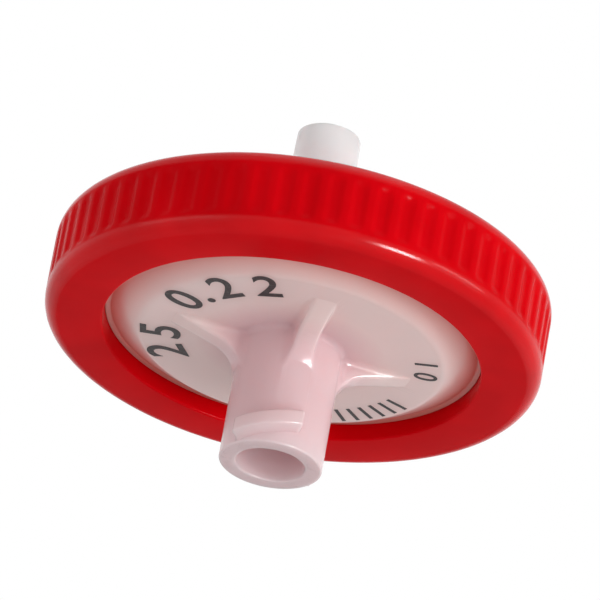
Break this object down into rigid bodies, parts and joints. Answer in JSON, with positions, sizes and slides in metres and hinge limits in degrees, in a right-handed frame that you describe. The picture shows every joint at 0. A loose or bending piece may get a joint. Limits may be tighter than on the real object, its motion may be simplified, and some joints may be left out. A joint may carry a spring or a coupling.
{
  "type": "syringe filter",
  "caption": "Round disc filter for a syringe: translucent housing in a ribbed red ring, female luer-lock inlet hub below, male luer slip outlet tip above.",
  "frame": {"origin": "centre of the inlet hub's end face, on which the filter stands", "axes": "+Z along the flow axis from the inlet hub to the outlet tip; +X and +Y each along a stiffening fin"},
  "size_m": [0.031, 0.031, 0.0231],
  "materials": {
    "natural_plastic": "moulded natural polypropylene, translucent, smooth",
    "red_plastic": "moulded red polypropylene, glossy",
    "membrane": "white microporous polymer film, matt"
  },
  "bodies": {
    "root": {"inlet_housing": "natural_plastic", "outlet_housing": "natural_plastic", "membrane": "membrane", "ring": "red_plastic"}
  },
  "joints": []
}
